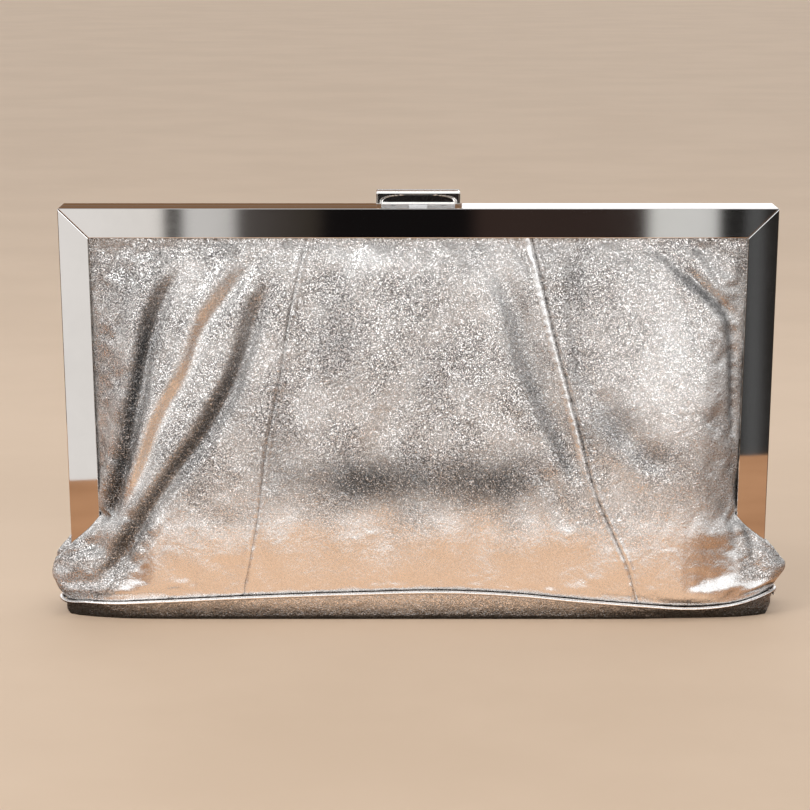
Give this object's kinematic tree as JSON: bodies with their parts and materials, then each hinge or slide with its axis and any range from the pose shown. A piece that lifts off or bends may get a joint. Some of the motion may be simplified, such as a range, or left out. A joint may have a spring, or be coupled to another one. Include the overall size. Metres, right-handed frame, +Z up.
{
  "type": "frame clutch purse",
  "caption": "Rectangular clutch purse: a mirror-finish metal frame hinged at its arm ends holds a padded pouch of crackled silver leather, with a lift latch on top.",
  "frame": {"origin": "middle of the base, on the surface the purse stands on", "axes": "+X along the width to the right as seen from the front, -Y out of the front, +Z up"},
  "size_m": [0.283, 0.052, 0.1617],
  "materials": {
    "mirror": "mirror-polished plate",
    "steel": "plain satin steel",
    "leather": "silver foil, finely crackled",
    "padding": "soft wadding",
    "lining": "satin weave",
    "board": "matt grey board"
  },
  "bodies": {
    "back_half": {"back_top_rail": "mirror", "back_left_arm": "mirror", "back_right_arm": "mirror", "left_hinge_rivet": "mirror", "right_hinge_rivet": "mirror", "back_top_retainer": "steel", "back_left_retainer": "steel", "back_right_retainer": "steel", "left_hinge_back_leaf": "steel", "right_hinge_back_leaf": "steel", "latch_bracket": "steel", "latch_pin": "steel", "latch_spring": "steel", "bracket_left_rivet": "steel", "bracket_right_rivet": "steel", "back_left_panel": "leather", "back_center_panel": "leather", "back_right_panel": "leather", "left_gusset": "leather", "right_gusset": "leather", "base_panel": "leather", "base_piping": "leather", "front_lower_padding": "padding", "back_padding": "padding", "back_lining": "lining", "slip_pocket": "lining", "base_lining": "lining", "base_board": "board"},
    "front_half": {"front_top_rail": "mirror", "front_left_arm": "mirror", "front_right_arm": "mirror", "front_top_retainer": "steel", "front_left_retainer": "steel", "front_right_retainer": "steel", "left_hinge_front_leaf": "steel", "right_hinge_front_leaf": "steel", "latch_keeper": "steel", "front_left_panel": "leather", "front_center_panel": "leather", "front_right_panel": "leather", "front_padding": "padding", "front_lining": "lining"},
    "latch": {"latch_lever": "mirror"}
  },
  "joints": [
    {"name": "frame_hinge", "type": "hinge", "parent": "back_half", "child": "front_half", "pos_m": [0, 0, 0.0165], "axis": [1, 0, 0], "range_deg": [0, 50], "deforming": ["front_left_panel", "front_center_panel", "front_right_panel", "front_lining", "left_gusset", "right_gusset"]},
    {"name": "latch_hinge", "type": "hinge", "parent": "back_half", "child": "latch", "pos_m": [0, 0.005, 0.1592], "axis": [-1, 0, 0], "range_deg": [0, 35], "stiffness_Nm_per_rad": 0.02, "springref_deg": -17.19, "deforming": ["latch_spring"]}
  ]
}
